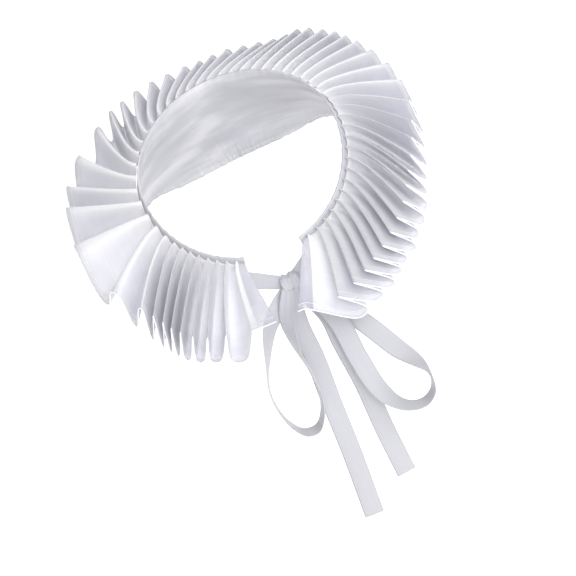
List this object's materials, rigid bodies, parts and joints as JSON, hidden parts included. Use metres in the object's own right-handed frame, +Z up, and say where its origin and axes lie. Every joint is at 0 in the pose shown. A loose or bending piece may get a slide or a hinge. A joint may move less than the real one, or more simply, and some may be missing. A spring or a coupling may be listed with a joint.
{
  "type": "ruff collar",
  "caption": "Worn ruff collar: a satin neckband open at the front, a long organza strip in deep upright pleats round it, and a ribbon bow at the throat.",
  "frame": {"origin": "middle of the neck opening, level with the neckband's top edge at the sides of the neck", "axes": "+Z up, the collar's front faces -Y, +X to the right of someone who faces the wearer"},
  "size_m": [0.2354, 0.2257, 0.2637],
  "materials": {
    "band_satin": "silvery white satin with soft crumples",
    "ruffle_organza": "sheer white organza with whiter fold lines",
    "ribbon_satin": "pale silvery satin ribbon"
  },
  "bodies": {
    "root": {"neckband": "band_satin", "ruffle": "ruffle_organza", "lead_left": "ribbon_satin", "lead_right": "ribbon_satin", "bow_knot": "ribbon_satin", "loop_left": "ribbon_satin", "loop_right": "ribbon_satin", "tail_left": "ribbon_satin", "tail_right": "ribbon_satin"}
  },
  "joints": []
}
